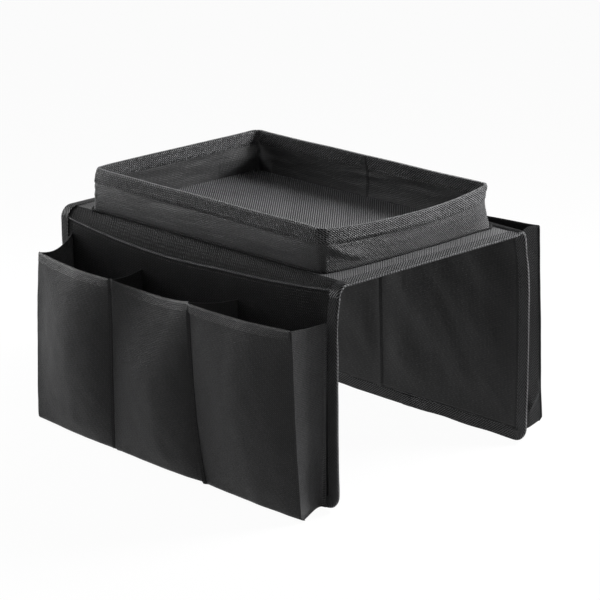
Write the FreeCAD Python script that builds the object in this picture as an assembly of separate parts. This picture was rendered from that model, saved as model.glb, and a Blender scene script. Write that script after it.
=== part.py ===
import FreeCAD, Part
import os

from FreeCAD import Vector

# A soft tray that saddles a sofa arm: a stiffened top with a walled tray sewn on it, and two
# stiffened flaps that hang down the sides of the arm and carry gusseted pockets.
# Millimetres, +Z up, X along the arm. The origin is the middle of the underside of the top,
# which rests on the arm. The front flap (-Y) has three pockets and the rear flap (+Y) has two.

# Cloth, lining, tape and boards
cloth = 0.8
lining = 0.6
tape = 0.6
top_board = 2.0
flap_board = 1.6
wall_board = 1.4

# Tray
tray_length = 310.0
tray_width = 204.0
wall_height = 40.0
rim_hem = 13.0
rim_ease = 4.0
corner_radius = 7.0
right_wall_bow = 5.0
base_welt = 2.0

# Top and its folds
end_margin = 33.0
binding_width = 11.0
fold_reach = 9.5
fold_drop = 8.0
fold_welt_radius = 1.5
fold_clearance = 0.3

# Flaps
flap_drop = 196.0
fold_ease = 10.0
flap_corner_radius = 14.0

# Pockets
moving_clearance = 0.3
sewn_clearance = 0.2
pocket_floor_rise = 0.6

front_depth = 43.4
front_mouth_drop = 30.0
front_gusset_inset = 17.0
front_mouth_inset = 14.0
front_base_inset = 5.0
front_left_width = 107.0
front_right_width = 113.0
front_mouth_bows = (-3.0, 8.0, -2.0)
front_base_bow = -1.0

rear_depth = 30.4
rear_mouth_rise = 1.0
rear_floor_rise = 13.0
rear_gusset_inset = 4.0
rear_mouth_inset = 10.0
rear_base_inset = 9.0
rear_divider_shift = 4.5
rear_mouth_bows = (4.0, 4.0)
rear_base_bow = -1.0

# Worked out from the sizes above
top_surface = lining + top_board + cloth
rim = top_surface + wall_height
wall_thickness = cloth + wall_board + lining
flap_thickness = cloth + flap_board + lining
half_length = tray_length / 2 + end_margin
core_length = half_length - tape
flat_half = tray_width / 2 + base_welt
hinge_y = flat_half + fold_reach
hinge_z = top_surface - fold_drop
flap_inner = hinge_y - flap_thickness / 2
flap_outer = flap_inner + flap_thickness
flap_top = hinge_z - fold_welt_radius - fold_clearance
pocket_root = flap_outer + tape
front_floor = -flap_drop + pocket_floor_rise
rear_floor = -flap_drop + rear_floor_rise


def save(name, shape):
    shape.exportStep("parts/" + name + ".step")


def slab(x0, x1, y0, y1, z0, z1):
    """A flat piece between two opposite corners, given in any order of y."""
    low = min(y0, y1)
    return Part.makeBox(x1 - x0, abs(y1 - y0), z1 - z0, Vector(x0, low, z0))


def prism_x(points, x0, x1):
    """A (y, z) outline drawn out along X."""
    corners = [Vector(x0, y, z) for y, z in points]
    face = Part.Face(Part.makePolygon(corners + corners[:1]))
    return face.extrude(Vector(x1 - x0, 0, 0))


def prism_z(points, z0, z1):
    """An (x, y) outline drawn out along Z."""
    corners = [Vector(x, y, z0) for x, y in points]
    face = Part.Face(Part.makePolygon(corners + corners[:1]))
    return face.extrude(Vector(0, 0, z1 - z0))


def loft(lower, upper):
    return Part.makeLoft([lower, upper], True, True)


def runs_along(edge, direction):
    return edge.tangentAt(edge.FirstParameter).isParallel(direction, 1e-3)


# Tray: walls of cloth, board and lining in rings that share their faces

def tray_block(inset, z0, z1):
    """The tray's outline, drawn in by inset, with its right side bowed outwards."""
    x = tray_length / 2 - inset
    y = tray_width / 2 - inset
    corners = [Vector(x, y, z0), Vector(-x, y, z0), Vector(-x, -y, z0), Vector(x, -y, z0)]
    sides = [Part.LineSegment(a, b).toShape() for a, b in zip(corners, corners[1:])]
    bow = Part.Arc(corners[3], Vector(x + right_wall_bow, 0, z0), corners[0]).toShape()
    block = Part.Face(Part.Wire(sides + [bow])).extrude(Vector(0, 0, z1 - z0))
    uprights = [e for e in block.Edges if runs_along(e, Vector(0, 0, 1))]
    return block.makeFillet(corner_radius - inset, uprights)


def tray_ring(outer, inner, z0, z1):
    return tray_block(outer, z0, z1).cut(tray_block(inner, z0, z1))


def wall_wedges():
    """The four spaces between the mitred corners, each holding one wall."""
    x = tray_length / 2
    y = tray_width / 2
    reach = 2 * corner_radius
    out_x = x + reach
    out_y = y + reach
    in_x = x - reach
    in_y = y - reach
    outlines = {
        "front": [(-out_x, -out_y), (out_x, -out_y), (in_x, -in_y), (-in_x, -in_y)],
        "rear": [(-out_x, out_y), (out_x, out_y), (in_x, in_y), (-in_x, in_y)],
        "left": [(-out_x, -out_y), (-in_x, -in_y), (-in_x, in_y), (-out_x, out_y)],
        "right": [(out_x, -out_y), (in_x, -in_y), (in_x, in_y), (out_x, out_y)],
    }
    return {name: prism_z(points, 0, rim + reach) for name, points in outlines.items()}


def wall_layers():
    """Each wall's cover folds over the rim into a hem; its board stops short of the fold."""
    hem_face = wall_thickness + cloth
    outside = tray_ring(0, cloth, top_surface, rim)
    over_rim = tray_ring(cloth, hem_face, rim - cloth, rim)
    hem = tray_ring(wall_thickness, hem_face, rim - rim_hem, rim - cloth)
    board_face = cloth + wall_board
    return {
        "wall_cover": outside.fuse([over_rim, hem]).removeSplitter(),
        "wall_board": tray_ring(cloth, board_face, top_surface, rim - cloth - rim_ease),
        "wall_lining": tray_ring(board_face, wall_thickness, top_surface, rim - cloth),
    }


def make_tray():
    for side, wedge in wall_wedges().items():
        for layer, ring in wall_layers().items():
            save(side + "_" + layer, ring.common(wedge))
    save("tray_floor", tray_block(wall_thickness, top_surface, top_surface + cloth))
    save("tray_base_welt", tray_ring(-base_welt, 0, top_surface, top_surface + base_welt))


# Top: lining, board and cover in a stack, with tape folded over both ends

def make_top():
    lining_end = half_length - binding_width
    save("top_lining", slab(-lining_end, lining_end, -flat_half, flat_half, 0, lining))
    save("top_board", slab(-core_length, core_length, -flat_half, flat_half, lining, lining + top_board))
    save("top_cover", slab(-core_length, core_length, -flat_half, flat_half, lining + top_board, top_surface))
    channel = [
        (lining_end, 0),
        (half_length, 0),
        (half_length, top_surface + tape),
        (lining_end, top_surface + tape),
        (lining_end, top_surface),
        (core_length, top_surface),
        (core_length, lining),
        (lining_end, lining),
    ]
    for name, side in (("left", -1), ("right", 1)):
        corners = [Vector(side * x, -flat_half, z) for x, z in channel]
        face = Part.Face(Part.makePolygon(corners + corners[:1]))
        save("end_binding_" + name, face.extrude(Vector(0, 2 * flat_half, 0)))


# Folds: a rolled seam on each fold line, and the cloth that slopes down to it

def make_fold(name, side):
    axis = Vector(-core_length, side * hinge_y, hinge_z)
    welt = Part.makeCylinder(fold_welt_radius, 2 * core_length, axis, Vector(1, 0, 0))
    half_cloth = cloth / 2
    slope = [
        (side * flat_half, top_surface),
        (side * (hinge_y + half_cloth), hinge_z + half_cloth),
        (side * (hinge_y - half_cloth), hinge_z - half_cloth),
        (side * flat_half, top_surface - cloth),
    ]
    save(name + "_fold_welt", welt)
    save(name + "_fold_strip", prism_x(slope, -core_length, core_length).cut(welt))


# Flaps: a stack like the top's, with rounded lower corners and tape round the three free edges.
# Each board stops short of the fold, so that the cloth above it can bend.

def flap_plate(inset, y0, y1, top):
    """The flap's outline, drawn in by inset from its bound edge."""
    x = half_length - inset
    bottom = -flap_drop + inset
    plate = slab(-x, x, y0, y1, bottom, top)
    across = [e for e in plate.Edges if runs_along(e, Vector(0, 1, 0))]
    low = [e for e in across if e.CenterOfMass.z < (bottom + top) / 2]
    return plate.makeFillet(max(flap_corner_radius - inset, tape), low)


def make_flap(name, side):
    inner = side * flap_inner
    lining_face = side * (flap_inner + lining)
    board_face = side * (flap_inner + lining + flap_board)
    outer = side * flap_outer
    proud = side * pocket_root
    save(name + "_flap_lining", flap_plate(binding_width, inner, lining_face, flap_top))
    save(name + "_flap_board", flap_plate(tape, lining_face, board_face, flap_top - fold_ease))
    save(name + "_flap_cover", flap_plate(tape, board_face, outer, flap_top))
    whole = flap_plate(0, inner, proud, flap_top)
    core = flap_plate(tape, lining_face, outer, flap_top)
    window = flap_plate(binding_width, inner, proud, flap_top)
    save(name + "_flap_binding", whole.cut(core).cut(window))


# Pockets: a strip of cloth held off the flap by gussets, dividers and floors

def strip_profile(seams, face, side, bows, z):
    """The strip's section at one height: an arc in each bay, bowed in towards the flap."""
    outside = []
    inside = []
    for x0, x1, bow in zip(seams, seams[1:], bows):
        middle = (x0 + x1) / 2
        for edges, y in ((outside, face), (inside, face - cloth)):
            start = Vector(x0, side * y, z)
            through = Vector(middle, side * (y - bow), z)
            end = Vector(x1, side * y, z)
            edges.append(Part.Arc(start, through, end).toShape())
    first = Part.LineSegment(inside[0].Vertexes[0].Point, outside[0].Vertexes[0].Point).toShape()
    last = Part.LineSegment(outside[-1].Vertexes[-1].Point, inside[-1].Vertexes[-1].Point).toShape()
    return Part.Wire([first] + outside + [last] + inside[::-1])


def gusset(foot, strip_base, strip_mouth, strip_inner, floor, root_top, mouth, side, end):
    """An end wall from the flap to the strip, following the slant of the strip's end."""

    def section(at_strip, root_z, strip_z):
        corners = [
            Vector(end * foot, side * pocket_root, root_z),
            Vector(end * (foot - cloth), side * pocket_root, root_z),
            Vector(end * (at_strip - cloth), side * strip_inner, strip_z),
            Vector(end * at_strip, side * strip_inner, strip_z),
        ]
        return Part.makePolygon(corners + corners[:1])

    return loft(section(strip_base, floor, floor), section(strip_mouth, root_top, mouth))


def divider(x, strip_inner, floor, root_top, mouth, side):
    outline = [
        (side * pocket_root, floor),
        (side * strip_inner, floor),
        (side * strip_inner, mouth),
        (side * pocket_root, root_top),
    ]
    return prism_x(outline, x - cloth / 2, x + cloth / 2)


def pocket_floor(left, right, strip_inner, floor, side):
    """A floor panel; left and right are each (x at the flap, x at the strip)."""
    outline = [
        (left[0], side * pocket_root),
        (right[0], side * pocket_root),
        (right[1], side * strip_inner),
        (left[1], side * strip_inner),
    ]
    return prism_z(outline, floor, floor + cloth)


def make_pockets(name, side, sizes):
    """One flap's row of pockets. The dividers' seams are given from left to right."""
    face = pocket_root + sizes["depth"]
    strip_inner = face - cloth - moving_clearance
    foot = half_length - sizes["gusset_inset"]
    base = half_length - sizes["base_inset"]
    mouth_end = half_length - sizes["mouth_inset"]
    floor = sizes["floor"]
    mouth = sizes["mouth"]
    seams = sizes["seams"]
    base_bows = [sizes["base_bow"]] * (len(seams) + 1)
    lower = strip_profile([-base] + seams + [base], face, side, base_bows, floor)
    upper = strip_profile([-mouth_end] + seams + [mouth_end], face, side, sizes["mouth_bows"], mouth)
    save(name + "_pocket_strip", loft(lower, upper))
    root_top = min(mouth, flap_top)
    for end_name, end in (("left", -1), ("right", 1)):
        wall = gusset(foot, base, mouth_end, strip_inner, floor, root_top, mouth, side, end)
        save(name + "_gusset_" + end_name, wall)
    for divider_name, x in zip(sizes["divider_names"], seams):
        save(name + "_" + divider_name, divider(x, strip_inner, floor, root_top, mouth, side))
    inside = cloth + sewn_clearance
    left = (-foot + inside, -base + inside)
    for bay_name, x in zip(sizes["bay_names"], seams + [None]):
        if x is None:
            right = (foot - inside, base - inside)
        else:
            right = (x - cloth / 2, x - cloth / 2)
        save(name + "_pocket_floor_" + bay_name, pocket_floor(left, right, strip_inner, floor, side))
        if x is not None:
            left = (x + cloth / 2, x + cloth / 2)


def front_sizes():
    foot = half_length - front_gusset_inset
    return {
        "depth": front_depth,
        "floor": front_floor,
        "mouth": -front_mouth_drop,
        "gusset_inset": front_gusset_inset,
        "mouth_inset": front_mouth_inset,
        "base_inset": front_base_inset,
        "seams": [-foot + front_left_width, foot - front_right_width],
        "mouth_bows": front_mouth_bows,
        "base_bow": front_base_bow,
        "divider_names": ["divider_left", "divider_right"],
        "bay_names": ["left", "middle", "right"],
    }


def rear_sizes():
    return {
        "depth": rear_depth,
        "floor": rear_floor,
        "mouth": rear_mouth_rise,
        "gusset_inset": rear_gusset_inset,
        "mouth_inset": rear_mouth_inset,
        "base_inset": rear_base_inset,
        "seams": [rear_divider_shift],
        "mouth_bows": rear_mouth_bows,
        "base_bow": rear_base_bow,
        "divider_names": ["divider"],
        "bay_names": ["left", "right"],
    }


os.makedirs("parts", exist_ok=True)
make_tray()
make_top()
for side_name, side_sign in (("front", -1), ("rear", 1)):
    make_fold(side_name, side_sign)
    make_flap(side_name, side_sign)
make_pockets("front", -1, front_sizes())
make_pockets("rear", 1, rear_sizes())
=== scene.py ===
import math

import bpy
from mathutils import Matrix, Vector, noise


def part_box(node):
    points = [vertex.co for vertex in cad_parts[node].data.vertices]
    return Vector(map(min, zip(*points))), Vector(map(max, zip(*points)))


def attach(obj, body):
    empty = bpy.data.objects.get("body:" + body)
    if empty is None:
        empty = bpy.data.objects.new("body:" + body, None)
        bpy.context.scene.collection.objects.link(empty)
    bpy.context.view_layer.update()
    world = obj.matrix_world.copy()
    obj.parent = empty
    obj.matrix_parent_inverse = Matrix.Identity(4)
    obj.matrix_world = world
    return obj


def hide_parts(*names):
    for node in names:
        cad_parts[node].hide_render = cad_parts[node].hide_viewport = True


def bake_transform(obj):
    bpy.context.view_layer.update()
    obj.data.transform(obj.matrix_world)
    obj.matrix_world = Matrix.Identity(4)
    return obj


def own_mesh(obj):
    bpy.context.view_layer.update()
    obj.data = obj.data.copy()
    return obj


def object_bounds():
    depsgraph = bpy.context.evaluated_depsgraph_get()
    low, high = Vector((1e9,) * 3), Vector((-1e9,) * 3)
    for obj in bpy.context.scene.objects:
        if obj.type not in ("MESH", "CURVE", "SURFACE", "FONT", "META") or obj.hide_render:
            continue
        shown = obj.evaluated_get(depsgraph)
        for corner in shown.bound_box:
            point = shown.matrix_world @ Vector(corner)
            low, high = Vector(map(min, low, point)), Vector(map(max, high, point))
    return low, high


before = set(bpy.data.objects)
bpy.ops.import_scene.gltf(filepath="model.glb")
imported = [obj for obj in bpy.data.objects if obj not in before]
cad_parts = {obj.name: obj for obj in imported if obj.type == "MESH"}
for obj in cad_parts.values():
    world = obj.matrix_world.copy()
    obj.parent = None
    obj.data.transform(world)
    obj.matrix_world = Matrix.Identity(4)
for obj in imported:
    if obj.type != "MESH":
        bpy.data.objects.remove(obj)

# The solids come in selected.
solid_low, solid_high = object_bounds()
bpy.ops.object.select_all(action="DESELECT")


# Studio: a plain white sweep with soft light from the left, from above and from behind on the right.
# The camera stands where the photograph was taken from, a little above the rim on the +X, -Y side.
scene = bpy.context.scene
scene.view_settings.view_transform = "Standard"

camera_turn = math.radians(47.695)
camera_tilt = math.radians(17.077)
camera_roll = math.radians(-1.279)
camera_reach = 2.390672
camera_across = 0.010762
camera_lift = -0.070797
focal_pixels = 2634.5
picture_pixels = 600
sensor_millimetres = 36


def bearing(turn, tilt):
    """The unit vector towards a place seen at that turn from -Y towards +X and that height."""
    level = math.cos(tilt)
    return Vector((math.sin(turn) * level, -math.cos(turn) * level, math.sin(tilt)))


backwards = bearing(camera_turn, camera_tilt)
level_right = Vector((0, 0, 1)).cross(backwards).normalized()
level_up = backwards.cross(level_right)
sideways = math.cos(camera_roll) * level_right + math.sin(camera_roll) * level_up
upwards = math.cos(camera_roll) * level_up - math.sin(camera_roll) * level_right
bpy.ops.object.camera_add()
camera = bpy.context.object
camera.name = "camera"
camera_place = backwards * camera_reach + sideways * camera_across + upwards * camera_lift
camera_axes = Matrix((sideways, upwards, backwards)).transposed()
camera.matrix_world = Matrix.Translation(camera_place) @ camera_axes.to_4x4()
camera.data.sensor_width = sensor_millimetres
camera.data.sensor_fit = "HORIZONTAL"
camera.data.lens = sensor_millimetres * focal_pixels / picture_pixels
scene.camera = camera

floor_size = 14.0
floor_gap = 0.0012
bpy.ops.mesh.primitive_plane_add(size=floor_size, location=(0, 0, solid_low.z - floor_gap))
studio_floor = bpy.context.object
studio_floor.name = "studio_floor"
bpy.ops.object.transform_apply(location=True, rotation=True, scale=True)


def feed(tree, node, inputs):
    """Sets a node's inputs, by name or number, each to a value or to another node's output."""
    for name, value in inputs.items():
        if isinstance(value, bpy.types.NodeSocket):
            tree.links.new(value, node.inputs[name])
        else:
            node.inputs[name].default_value = value


def add_node(tree, kind, inputs=None, **settings):
    """A new shader node of that kind, with its settings and its inputs."""
    node = tree.nodes.new("ShaderNode" + kind)
    for name, value in settings.items():
        setattr(node, name, value)
    feed(tree, node, inputs or {})
    return node


def new_finish(name):
    """A new material, with its node tree and its main shader."""
    finish = bpy.data.materials.new(name)
    finish.use_nodes = True
    return finish, finish.node_tree, finish.node_tree.nodes["Principled BSDF"]


def seen_directly(tree):
    """1 for rays that see the backdrop itself, straight or in a reflection, and 0 for its light."""
    path = add_node(tree, "LightPath")
    seen = path.outputs["Is Camera Ray"]
    for ray in ("Is Glossy Ray", "Is Transmission Ray"):
        seen = add_node(tree, "Math", {0: seen, 1: path.outputs[ray]}, operation="MAXIMUM").outputs[0]
    return seen


white = (1, 1, 1, 1)
floor_glow = 0.96
sweep_paint, sweep_tree, sweep_shader = new_finish("sweep_paint")
feed(sweep_tree, sweep_shader, {"Base Color": (0.86, 0.86, 0.86, 1), "Roughness": 0.9})
sweep_glow = add_node(sweep_tree, "Emission", {"Color": white})
sweep_seen = {0: seen_directly(sweep_tree), 1: floor_glow}
sweep_share = add_node(sweep_tree, "Math", sweep_seen, operation="MULTIPLY")
sweep_parts = {0: sweep_share.outputs[0], 1: sweep_shader.outputs[0], 2: sweep_glow.outputs[0]}
sweep_mix = add_node(sweep_tree, "MixShader", sweep_parts)
feed(sweep_tree, sweep_tree.nodes["Material Output"], {"Surface": sweep_mix.outputs[0]})
studio_floor.data.materials.append(sweep_paint)

room_light = 0.008
world = bpy.data.worlds.new("studio_room")
scene.world = world
world.use_nodes = True
room_tree = world.node_tree
room_range = {"Value": seen_directly(room_tree), "To Min": room_light, "To Max": 1.0}
room_strength = add_node(room_tree, "MapRange", room_range).outputs["Result"]
feed(room_tree, room_tree.nodes["Background"], {"Color": white, "Strength": room_strength})


def softbox(name, turn, tilt, reach, size, watts):
    """A square soft light that faces the middle of the tray."""
    towards = bearing(math.radians(turn), math.radians(tilt))
    bpy.ops.object.light_add(type="AREA", location=towards * reach)
    lamp = bpy.context.object
    lamp.name = name
    lamp.rotation_euler = towards.to_track_quat("Z", "Y").to_euler()
    lamp.data.shape = "SQUARE"
    lamp.data.size = size
    lamp.data.energy = watts


softbox("left_softbox", turn=-72, tilt=6, reach=0.75, size=0.3, watts=2.8)
softbox("front_softbox", turn=-62, tilt=20, reach=1.17, size=0.5, watts=3.0)
softbox("high_softbox", turn=-25, tilt=45, reach=1.3, size=0.7, watts=2.5)
softbox("right_softbox", turn=75, tilt=20, reach=1.4, size=0.7, watts=3)
softbox("rear_softbox", turn=145, tilt=32, reach=0.8, size=0.35, watts=16.5)


# Top board: a sheet of black recycled plastic between the cover and the lining of the top.
# It is sewn in all round, keeps the top flat on the sofa's arm, and doesn't show.
def scaled(shade, times):
    return tuple(times * part for part in shade)


def tint_between(tree, share, dark, pale, start=0.0, end=1.0):
    """The colours from dark to pale, as share goes from start to end."""
    tint = add_node(tree, "ValToRGB", {"Fac": share})
    for stop, place, shade in zip(tint.color_ramp.elements, (start, end), (dark, pale)):
        stop.position = place
        stop.color = shade + (1,)
    return tint.outputs["Color"]


def sheet_stock(name, shade, grain, rough):
    """Plain sheet stock: a faint mottle in colour and gloss, and a fine grain."""
    gloss_range = 0.1
    tooth_depth = 0.0001
    finish, tree, shader = new_finish(name)
    place = add_node(tree, "TexCoord").outputs["Object"]
    mottle = add_node(tree, "TexNoise", {"Vector": place, "Scale": grain, "Detail": 6}).outputs["Fac"]
    gloss = {"Value": mottle, "To Min": rough - gloss_range, "To Max": rough + gloss_range}
    feed(tree, shader, {
        "Base Color": tint_between(tree, mottle, scaled(shade, 0.7), scaled(shade, 1.3)),
        "Roughness": add_node(tree, "MapRange", gloss).outputs["Result"],
        "Normal": add_node(tree, "Bump", {"Height": mottle, "Distance": tooth_depth}).outputs["Normal"],
    })
    return finish


board_plastic = sheet_stock("board_plastic", (0.03, 0.03, 0.032), grain=400, rough=0.5)
top_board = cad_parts["top_board"]
top_board.data.materials.clear()
top_board.data.materials.append(board_plastic)


# Cover of the top: one rectangle of black twill laid over the board, under the tray and past its ends.
# Only its margins show. Its long sides run on into the folds and its ends are bound with tape.
def make_cloth(name, flat, grid, form, thickness, finish, crowd=0.0):
    """A piece of cloth, cut as a flat rectangle about the origin and gridded finer towards its edges where
    crowd is more than 0. Its UV map keeps each point's flat place in metres. Each point goes where form
    says that it hangs, edges that meet are closed, and the cloth gets its thickness and its finish."""
    weld_gap = 0.00002
    edge_angle = math.radians(50)
    bpy.ops.object.select_all(action="DESELECT")
    bpy.ops.mesh.primitive_grid_add(x_subdivisions=grid[0], y_subdivisions=grid[1], size=1)
    piece = bpy.context.object
    piece.name = name
    piece.data.name = name
    points = piece.data.vertices
    for point in points:
        point.co.x *= 1 + crowd / 2 * (1 - 4 * point.co.x ** 2)
        point.co.y *= 1 + crowd / 2 * (1 - 4 * point.co.y ** 2)
    bpy.ops.object.mode_set(mode="EDIT")
    bpy.ops.mesh.select_all(action="SELECT")
    bpy.ops.transform.resize(value=(*flat, 1))
    bpy.ops.object.mode_set(mode="OBJECT")
    flat_map = piece.data.uv_layers[0]
    flat_map.name = "flat_cloth"
    for loop in piece.data.loops:
        flat_map.data[loop.index].uv = points[loop.vertex_index].co.xy
    for point in points:
        point.co = form(point.co.x, point.co.y)
    piece.data.update()
    bpy.ops.object.mode_set(mode="EDIT")
    bpy.ops.mesh.select_all(action="SELECT")
    bpy.ops.mesh.remove_doubles(threshold=weld_gap)
    bpy.ops.mesh.normals_make_consistent(inside=False)
    bpy.ops.object.mode_set(mode="OBJECT")
    if thickness:
        body = piece.modifiers.new("thickness", "SOLIDIFY")
        body.thickness = thickness
        body.offset = 0
        bpy.ops.object.modifier_apply(modifier=body.name)
    bpy.ops.object.shade_smooth_by_angle(angle=edge_angle)
    piece.data.materials.append(finish)
    return piece


def woven(name, shade, relief, twill, depth, gloss, yarn=0.0016, rib=0.0015, rough=0.42, fold_highlight=0.0):
    """Woven black cloth on its flat coordinates: crossing yarns under a diagonal rib, slow fading and
    creasing. The tops of yarns are painted paler than the gaps by depth: painted sheen on the tops and
    painted shade in the gaps. With a fold width more than 0 the cloth is folded along its middle: the rib
    is mirrored there, and a painted highlight runs along the fold to that width."""
    metre_wave = math.pi / 10
    fading = 0.3
    rough_range = 0.08
    highlight_gain = 8
    mirrored_rib = -1.3
    finish, tree, shader = new_finish(name)
    flat = add_node(tree, "UVMap", uv_map="flat_cloth").outputs["UV"]

    def combine(operation, first, second=0):
        return add_node(tree, "Math", {0: first, 1: second}, operation=operation).outputs[0]

    split = add_node(tree, "SeparateXYZ", {0: flat})
    off_fold = combine("ABSOLUTE", split.outputs["Y"])
    weave_place = flat
    if fold_highlight:
        mirrored = {"X": split.outputs["X"], "Y": combine("MULTIPLY", off_fold, mirrored_rib)}
        weave_place = add_node(tree, "CombineXYZ", mirrored).outputs[0]

    def bands(direction, scale):
        wave = {"Vector": weave_place, "Scale": scale, "Distortion": 0.7, "Detail": 1}
        return add_node(tree, "TexWave", wave, bands_direction=direction).outputs["Fac"]

    def mottle(scale, detail):
        return add_node(tree, "TexNoise", {"Vector": flat, "Scale": scale, "Detail": detail}).outputs["Fac"]

    crossing = combine("MULTIPLY", bands("X", metre_wave / yarn), bands("Y", metre_wave / yarn))
    diagonal = bands("DIAGONAL", metre_wave * math.sqrt(2) / rib)
    weave = combine("ADD", combine("MULTIPLY", crossing, 1 - twill), combine("MULTIPLY", diagonal, twill))
    uneven_yarns = combine("MULTIPLY", weave, combine("ADD", mottle(scale=420, detail=1), 0.5))
    lift = combine("MULTIPLY", uneven_yarns, 1 - fading)
    paleness = combine("ADD", lift, combine("MULTIPLY", mottle(scale=28, detail=4), fading))
    # The weave's pattern is the cloth's own, but its dark gaps are painted shade and its pale yarn tops
    # painted sheen, more so as depth grows.
    steep = max(depth - 1, 0)
    gaps = scaled(shade, max(1 - depth, 0.02))
    tops = scaled(shade, 1 + 1.8 * depth)
    colour = tint_between(tree, paleness, gaps, tops, 0.1 + 0.08 * steep, 0.9 - 0.15 * steep)
    # Painted highlight along the fold: a pale line in a paler tint of the shade, broken up by a mottle and
    # the rib.
    if fold_highlight:
        fold_line = {"Value": off_fold, "From Max": fold_highlight, "To Min": 1, "To Max": 0}
        painted_highlight = add_node(tree, "MapRange", fold_line).outputs["Result"]
        painted_highlight = combine("MULTIPLY", painted_highlight, combine("ADD", mottle(scale=150, detail=2), 0.3))
        painted_highlight = combine("MULTIPLY", painted_highlight, combine("ADD", diagonal, 0.5))
        paled = {"Fac": painted_highlight, "Color1": colour, "Color2": scaled(shade, highlight_gain) + (1,)}
        colour = add_node(tree, "MixRGB", paled).outputs["Color"]
    smooth = {"Value": paleness, "To Min": rough + rough_range, "To Max": rough - rough_range}
    creases = {"Height": mottle(scale=70, detail=3), "Distance": 0.0012, "Strength": 0.35}
    creased = add_node(tree, "Bump", creases).outputs["Normal"]
    yarns = {"Height": uneven_yarns, "Distance": relief, "Normal": creased}
    feed(tree, shader, {
        "Base Color": colour,
        "Roughness": add_node(tree, "MapRange", smooth).outputs["Result"],
        "Normal": add_node(tree, "Bump", yarns).outputs["Normal"],
        "Specular IOR Level": gloss,
        "Sheen Weight": 0.02,
        "Sheen Roughness": 0.45,
        "Sheen Tint": (0.9, 0.93, 1.0, 1),
    })
    return finish


def ripple(x, y, size, seed):
    """Soft unevenness between -1 and 1, in waves about as long as size."""
    return noise.noise(Vector((x / size, y / size, seed)))


# The top's cover is the same black twill that runs on into the folds and flaps, given a far paler shade
# here: painted light on the top, which faces up.
tray_twill = woven("tray_twill", (0.040, 0.040, 0.0408), relief=0.0010, twill=0.55, depth=1.2, gloss=0.18)
cover_low, cover_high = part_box("top_cover")
top_half_x = cover_high.x
top_half_y = cover_high.y
cloth = cover_high.z - cover_low.z
top_surface = cover_high.z
cover_ripple = 0.0003


def lie_on_top(x, y):
    return Vector((x, y, top_surface - cloth / 2 + cover_ripple * (1 + ripple(x, y, 0.03, 1))))


top_flat = (2 * top_half_x, 2 * top_half_y)
top_cover = make_cloth("top_cover_cloth", top_flat, (94, 52), lie_on_top, cloth, tray_twill)
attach(top_cover, "tray_top")
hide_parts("top_cover")


# Lining of the top: a thin smooth rectangle under the board, which lies on the sofa's arm.
# It stops short of both ends, where the binding tape takes over.
lining_cloth = woven("lining_cloth", (0.019, 0.019, 0.0194), relief=0.0002, twill=0.3, depth=0.45,
                     gloss=0.11, rough=0.36)
lining_low, lining_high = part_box("top_lining")
lining = lining_high.z - lining_low.z
lining_ripple = 0.0002


def lie_under_top(x, y):
    return Vector((x, y, lining_low.z + lining / 2 - lining_ripple * (1 + ripple(x, y, 0.025, 2))))


top_lining_flat = (2 * lining_high.x, 2 * lining_high.y)
top_lining = make_cloth("top_lining_cloth", top_lining_flat, (88, 52), lie_under_top, lining, lining_cloth)
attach(top_lining, "tray_top")
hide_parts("top_lining")


# End bindings: woven tape folded over the two short ends of the top and sewn through near its edges.
# The folded edge is a little wavy, and a painted highlight runs along it as a pale line.
binding_tape = woven("binding_tape", (0.020, 0.020, 0.0205), relief=0.0013, twill=0.85, depth=1.9,
                     gloss=0.06, yarn=0.0014, rib=0.0022, fold_highlight=0.0011)


def ease(share):
    """A smooth step from 0 to 1."""
    share = min(max(share, 0), 1)
    return share * share * (3 - 2 * share)


def tape_turn(around, half_stack):
    """Tape folded round an edge: how far in from the edge, and how far off the middle, it lies."""
    quarter = half_stack * math.pi / 2
    if abs(around) < quarter:
        angle = around / half_stack
        return half_stack * (1 - math.cos(angle)), half_stack * math.sin(angle)
    return half_stack + abs(around) - quarter, math.copysign(half_stack, around)


def turned_width(reach, half_stack):
    """The flat width of tape that reaches in by reach on both faces of an edge."""
    return 2 * (reach - half_stack + half_stack * math.pi / 2)


binding_low, binding_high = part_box("end_binding_right")
tape = binding_high.x - top_half_x
binding_reach = binding_high.x - binding_low.x
end_edge = binding_high.x - tape / 2
top_middle = (binding_low.z + binding_high.z) / 2
top_half_stack = (binding_high.z - binding_low.z - tape) / 2
end_tape_flat = (2 * top_half_y, turned_width(binding_reach - tape / 2, top_half_stack))
tape_settle = 0.012
end_wave = 0.0005
end_wobble = 0.1
ends = (("left", -1), ("right", 1))


def end_tape_place(end, along, around, proud=0.0):
    """A point of the tape at one end of the top: along the end, and around its folded edge."""
    inwards, off = tape_turn(around, top_half_stack)
    loose = ease((top_half_y - abs(along)) / tape_settle)
    edge = end_edge + end_wave * loose * ripple(along, end, 0.02, 3)
    off *= 1 + end_wobble * loose * ripple(along, end, 0.012, 4)
    return Vector((end * (edge - inwards), along, top_middle + off + math.copysign(proud, off)))


for end_name, end in ends:

    def wrap_end(x, y, end=end):
        return end_tape_place(end, x, y)

    end_tape = make_cloth("end_tape_" + end_name, end_tape_flat, (104, 24), wrap_end, tape, binding_tape)
    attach(end_tape, "tray_top")
    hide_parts("end_binding_" + end_name)


# Tray floor: a rounded rectangle of the same twill, lying on the cover inside the walls.
# Its right side follows the wall's bow. The diagonal rib of the twill shows plainly on it.
def rounded(x, y, half_x, half_y, radius):
    """Draws the points near a rectangle's corners in on to round ones."""
    over_x = (abs(x) - half_x + radius) / radius
    over_y = (abs(y) - half_y + radius) / radius
    if over_x <= 0 or over_y <= 0:
        return x, y
    round_x = over_x * math.sqrt(1 - over_y * over_y / 2)
    round_y = over_y * math.sqrt(1 - over_x * over_x / 2)
    drawn_x = half_x - radius + round_x * radius
    drawn_y = half_y - radius + round_y * radius
    return math.copysign(drawn_x, x), math.copysign(drawn_y, y)


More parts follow.
